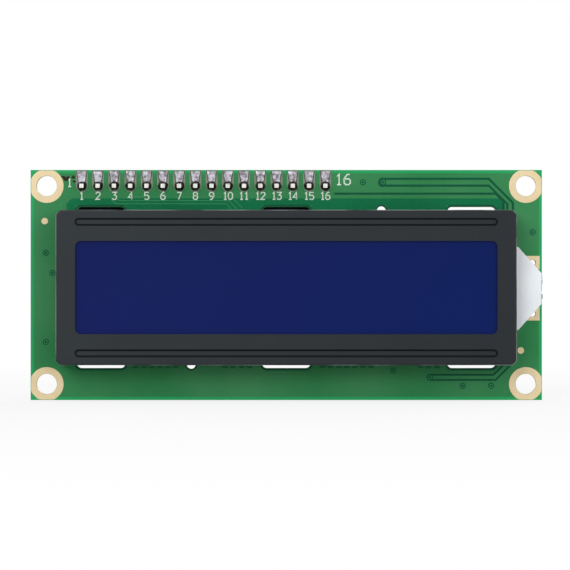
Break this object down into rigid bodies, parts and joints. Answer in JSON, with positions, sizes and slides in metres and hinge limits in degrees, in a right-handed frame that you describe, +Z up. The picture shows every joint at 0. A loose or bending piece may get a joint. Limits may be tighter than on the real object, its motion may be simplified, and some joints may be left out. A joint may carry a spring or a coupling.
{
  "type": "character LCD module with serial adapter",
  "caption": "Flat character display in a black folded bezel on a green board, with a black adapter board soldered to its back: dial trimmer, pull-off jumper, side pins.",
  "frame": {"origin": "centre of the four mounting holes, on the front face of the main board", "axes": "+X to the right as the display is read, along the board's length; +Z up; +Y away from the reader, through the board"},
  "size_m": [0.0805, 0.0178, 0.036],
  "materials": {
    "black_laminate": "satin",
    "chip_ceramic": "satin",
    "solder": "satin",
    "lamp_moulding": "satin",
    "white_moulding": "satin",
    "black_sheet": "satin",
    "black_moulding": "satin",
    "tinned_metal": "satin",
    "tan_ceramic": "satin",
    "white_film": "matt",
    "cell_glass": "gloss",
    "blue_film": "gloss",
    "cap_moulding": "satin",
    "clear_acrylic": "gloss",
    "green_laminate": "satin",
    "led_moulding": "satin",
    "led_lens": "gloss",
    "black_resin": "satin",
    "blue_moulding": "satin",
    "rotor_metal": "satin",
    "pink_silicone": "matt"
  },
  "bodies": {
    "module": {"adapter_board": "black_laminate", "adapter_resistor_1": "chip_ceramic", "adapter_resistor_2": "chip_ceramic", "adapter_resistor_3": "chip_ceramic", "adapter_resistor_4": "chip_ceramic", "adapter_resistor_5": "chip_ceramic", "adapter_resistor_6": "chip_ceramic", "adapter_resistor_7": "chip_ceramic", "adapter_solder": "solder", "backlight_lamp": "lamp_moulding", "backlight_tray": "white_moulding", "bezel": "black_sheet", "bus_header_base": "black_moulding", "bus_header_pins": "tinned_metal", "bypass_capacitor": "tan_ceramic", "diffuser_sheet": "white_film", "expander_body": "black_moulding", "expander_leads": "tinned_metal", "front_glass": "cell_glass", "front_polarizer": "blue_film", "header_pins": "tinned_metal", "header_solder_front": "solder", "header_solder_rear": "solder", "header_spacer": "black_moulding", "jumper_header_base": "black_moulding", "jumper_header_pins": "tinned_metal", "lamp_leads": "tinned_metal", "light_guide": "clear_acrylic", "main_board": "green_laminate", "main_resistor_1": "chip_ceramic", "main_resistor_2": "chip_ceramic", "main_resistor_3": "chip_ceramic", "main_resistor_4": "chip_ceramic", "main_resistor_5": "chip_ceramic", "main_solder": "solder", "power_led_base": "led_moulding", "power_led_lens": "led_lens", "rear_glass": "cell_glass", "rear_polarizer": "blue_film", "resin_drop_controller": "black_resin", "resin_drop_driver": "black_resin", "transistor_body": "black_moulding", "transistor_leads": "tinned_metal", "trimmer_body": "blue_moulding", "trimmer_pins": "tinned_metal", "zebra_strip_bottom": "pink_silicone", "zebra_strip_top": "pink_silicone"},
    "trimmer_dial": {"trimmer_rotor": "rotor_metal"},
    "jumper": {"jumper_cap": "cap_moulding", "jumper_clip": "tinned_metal"}
  },
  "joints": [
    {"name": "contrast_dial", "type": "hinge", "parent": "module", "child": "trimmer_dial", "pos_m": [-0.02445, 0.01064, 0.0088], "axis": [0, 1, 0], "range_deg": [-120, 120]},
    {"name": "jumper_pull", "type": "slide", "parent": "module", "child": "jumper", "axis": [1, 0, 0], "range_m": [0, 0.0055]}
  ]
}
